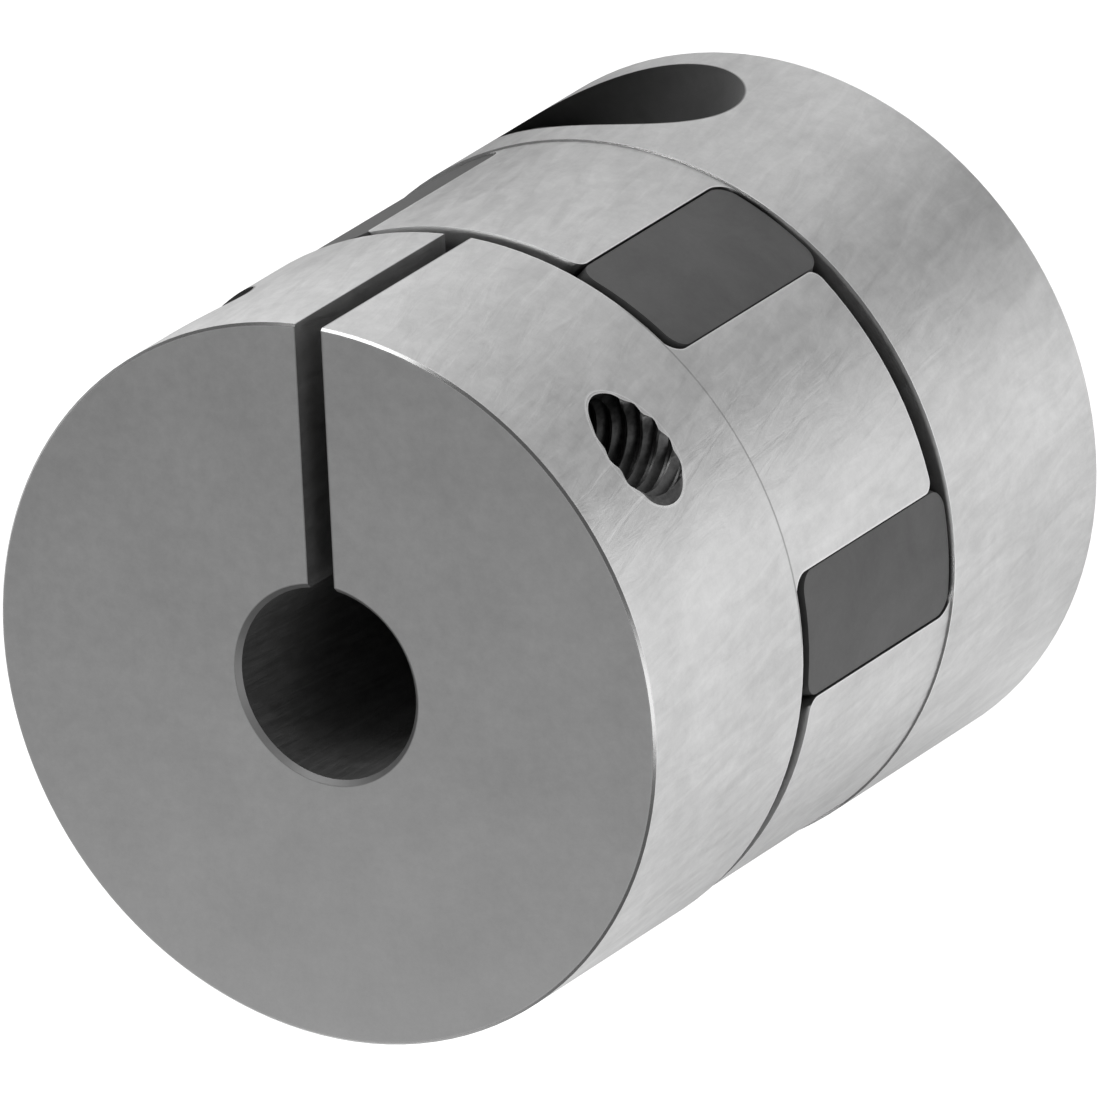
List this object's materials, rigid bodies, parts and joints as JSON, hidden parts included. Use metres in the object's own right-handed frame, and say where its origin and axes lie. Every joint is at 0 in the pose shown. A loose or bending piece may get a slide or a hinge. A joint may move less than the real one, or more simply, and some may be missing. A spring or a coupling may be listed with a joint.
{
  "type": "shaft coupling",
  "caption": "Plug-in jaw coupling: clamping hubs whose jaws interlock round an elastic spider, each clamped on its shaft by a socket head screw across a slit.",
  "frame": {"origin": "centre of the rear hub's end face, on which the coupling stands", "axes": "+Z along the common shaft axis towards the front hub; +Y along the front hub's clamp slit; +X towards its threaded hole"},
  "size_m": [0.03, 0.03, 0.035],
  "materials": {
    "hub_aluminium": "fine turned",
    "spider_elastomer": "moulded matt",
    "screw_steel": "blackened, oiled"
  },
  "bodies": {
    "rear_hub": {"rear_hub": "hub_aluminium"},
    "spider": {"spider": "spider_elastomer"},
    "front_hub": {"front_hub": "hub_aluminium"},
    "front_clamp_screw": {"front_clamp_screw": "screw_steel"},
    "rear_clamp_screw": {"rear_clamp_screw": "screw_steel"}
  },
  "joints": [
    {"name": "spider_plug", "type": "slide", "parent": "rear_hub", "child": "spider", "axis": [0, 0, 1], "range_m": [-0.00015, 0.012]},
    {"name": "front_hub_plug", "type": "slide", "parent": "spider", "child": "front_hub", "axis": [0, 0, 1], "range_m": [-0.0003, 0.012]},
    {"name": "front_screw_turn", "type": "hinge", "parent": "front_hub", "child": "front_clamp_screw", "pos_m": [0, 0.0096, 0.02935], "axis": [-1, 0, 0], "range_deg": [0, 360]},
    {"name": "rear_screw_turn", "type": "hinge", "parent": "rear_hub", "child": "rear_clamp_screw", "pos_m": [-0.00831, 0.0048, 0.00565], "axis": [0.5, 0.866, 0], "range_deg": [0, 360]}
  ]
}
